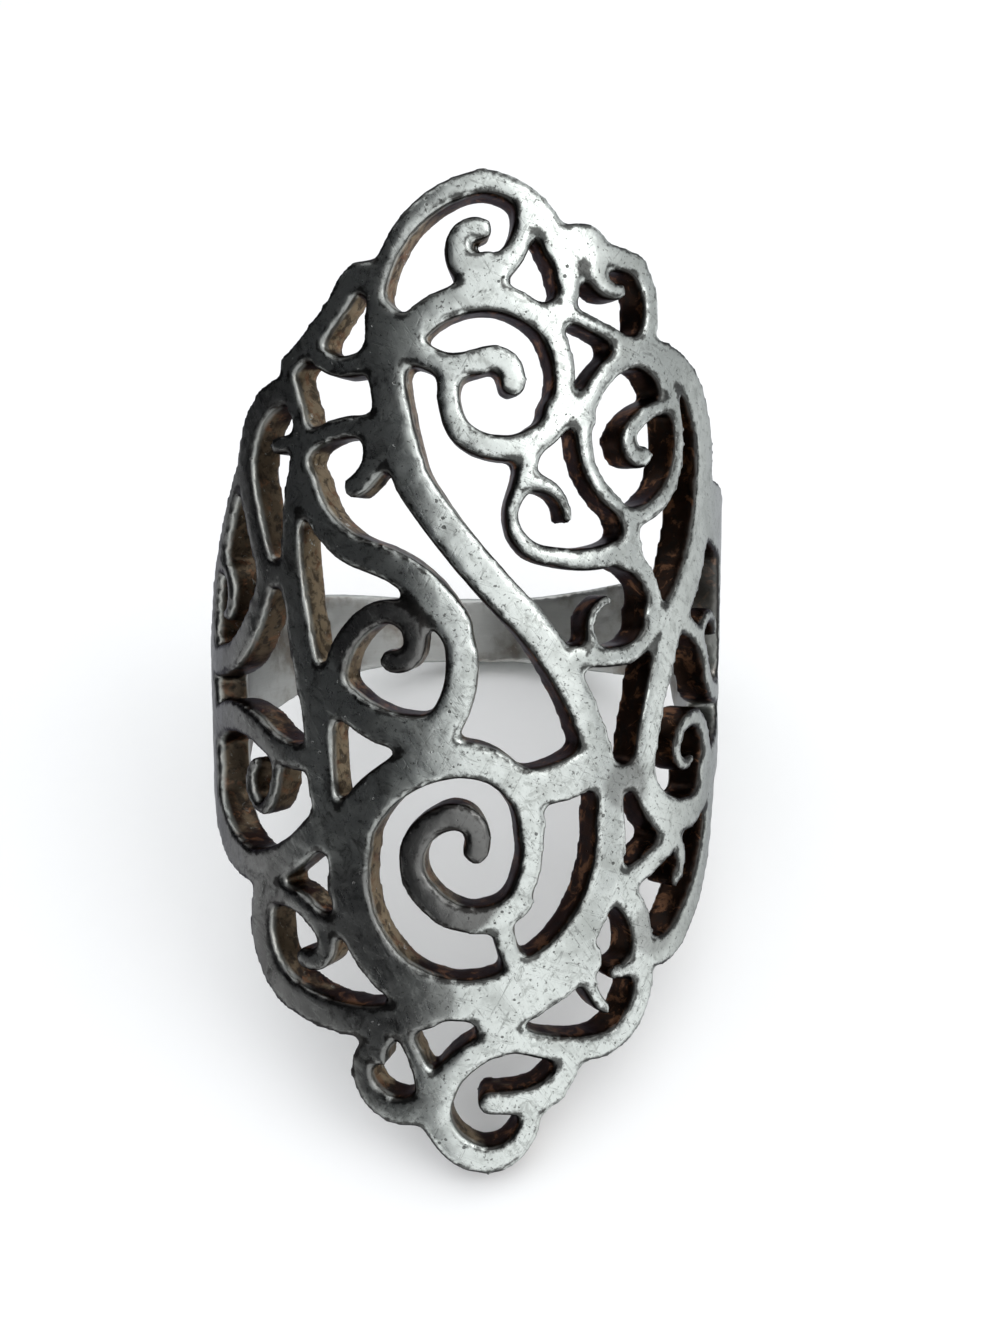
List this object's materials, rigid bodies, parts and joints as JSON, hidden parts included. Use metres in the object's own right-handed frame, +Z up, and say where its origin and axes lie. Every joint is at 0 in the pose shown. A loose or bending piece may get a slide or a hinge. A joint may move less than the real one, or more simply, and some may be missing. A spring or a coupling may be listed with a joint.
{
  "type": "openwork saddle ring",
  "caption": "Cast silver finger ring with a tall shield of scrolls pierced through, curved round the front of a plain band.",
  "frame": {"origin": "on the surface that the ring rests on, below the middle of its bounding box", "axes": "+Z up, -Y towards the viewer that the shield faces, +X to the shield's right as seen from there"},
  "size_m": [0.0216, 0.0284, 0.027],
  "materials": {
    "silver": "worn cast silver, dark in its recesses"
  },
  "bodies": {
    "root": {"filigree_ring": "silver"}
  },
  "joints": []
}
